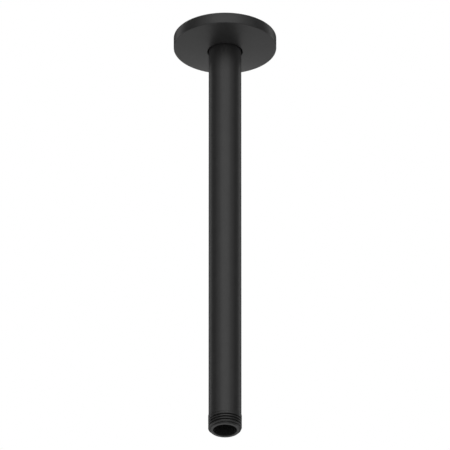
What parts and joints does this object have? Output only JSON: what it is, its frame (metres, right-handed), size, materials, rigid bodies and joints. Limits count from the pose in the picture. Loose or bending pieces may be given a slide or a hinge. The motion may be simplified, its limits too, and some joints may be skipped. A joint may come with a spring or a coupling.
{
  "type": "shower arm",
  "caption": "Straight ceiling shower arm: matte black tube with an open waterway, a male pipe thread at each end, and a round flange that slides and turns on the tube.",
  "frame": {"origin": "on the tube's axis, in the plane of the ceiling, which is the back of the flange's rim", "axes": "+Z along the tube, up into the ceiling; the part is round about Z"},
  "size_m": [0.0644, 0.0644, 0.2935],
  "materials": {
    "arm_coating": "satin",
    "flange_coating": "satin",
    "ring_rubber": "matte"
  },
  "bodies": {
    "arm": {"arm_tube": "arm_coating"},
    "grip_ring": {"grip_ring": "ring_rubber"},
    "flange": {"flange": "flange_coating"}
  },
  "joints": [
    {"name": "flange_slide", "type": "slide", "parent": "arm", "child": "grip_ring", "axis": [0, 0, -1], "range_m": [0, 0.264]},
    {"name": "flange_turn", "type": "hinge", "parent": "grip_ring", "child": "flange", "pos_m": [0, 0, -0.0056], "axis": [0, 0, 1], "continuous": true}
  ]
}
